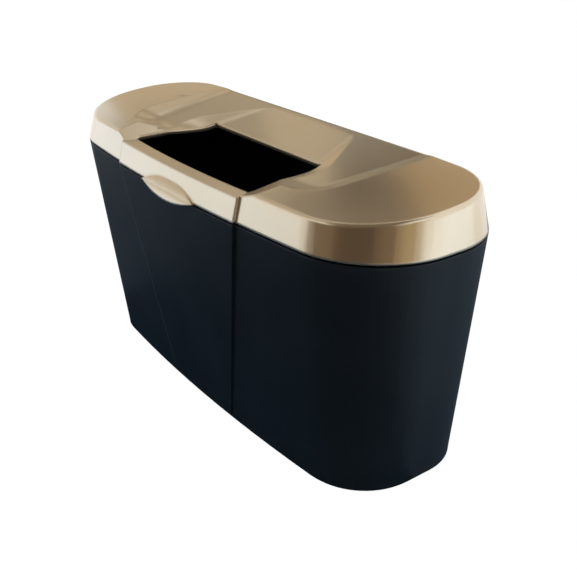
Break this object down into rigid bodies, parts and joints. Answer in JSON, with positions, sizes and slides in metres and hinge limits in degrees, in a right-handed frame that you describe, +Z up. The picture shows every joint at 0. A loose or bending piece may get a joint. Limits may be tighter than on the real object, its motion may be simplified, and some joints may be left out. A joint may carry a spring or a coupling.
{
  "type": "car waste bin",
  "caption": "Long tapered waste bin with a bowed front and a hinged lid that has a dished top, a drop-in opening and a thumb tab at the front.",
  "frame": {"origin": "middle of the base, on the surface the bin stands on, halfway between the flat back and the chord of the front at the rim", "axes": "+X along the bin, +Y towards the flat hinged back, +Z up; the bowed front faces -Y"},
  "size_m": [0.252, 0.101, 0.1313],
  "materials": {
    "bin_plastic": "satin moulded plastic, blue-black",
    "lid_plastic": "gloss pearl coat, champagne gold",
    "pin_steel": "plain drawn wire"
  },
  "bodies": {
    "bin": {"bin": "bin_plastic", "hinge_pin_left": "pin_steel", "hinge_pin_right": "pin_steel"},
    "lid": {"lid": "lid_plastic"}
  },
  "joints": [
    {"name": "lid_hinge", "type": "hinge", "parent": "bin", "child": "lid", "pos_m": [0, 0.0447, 0.1115], "axis": [-1, 0, 0], "range_deg": [0, 100]}
  ]
}
